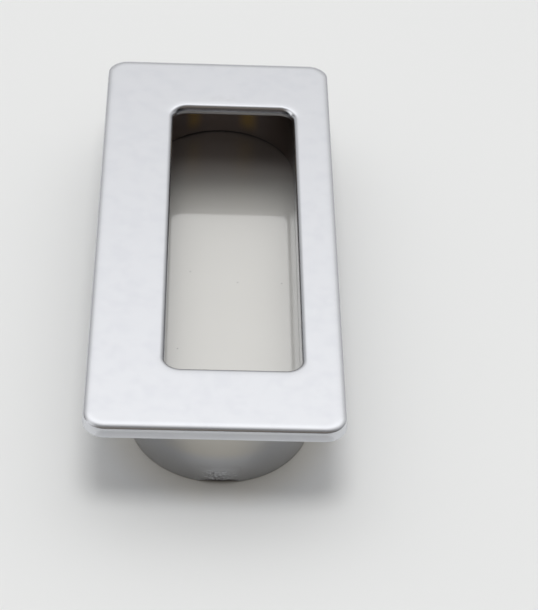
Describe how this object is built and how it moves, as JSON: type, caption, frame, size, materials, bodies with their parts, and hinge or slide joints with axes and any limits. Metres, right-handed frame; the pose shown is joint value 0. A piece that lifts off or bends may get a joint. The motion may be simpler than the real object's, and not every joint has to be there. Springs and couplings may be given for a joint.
{
  "type": "recessed pull handle",
  "caption": "Flush pull handle to be let into a door: rectangular face plate with an offset opening over a round-ended finger cup whose edges undercut the border for grip.",
  "frame": {"origin": "bottom centre of the bounding box: on the plane of the cup's rear rim, under the middle of the face plate", "axes": "+Y along the pull, +X across it towards the narrow border, +Z out of the face towards the user"},
  "size_m": [0.05, 0.12, 0.018],
  "materials": {
    "satin_chrome": "die-cast zinc plated in satin (pearl) chrome: soft even sheen, no grain",
    "brushed_plate": "faintly brushed plate, lengthwise and slightly warm, under a hard clear coat"
  },
  "bodies": {
    "root": {"handle_body": "satin_chrome", "floor_plate": "brushed_plate"}
  },
  "joints": []
}
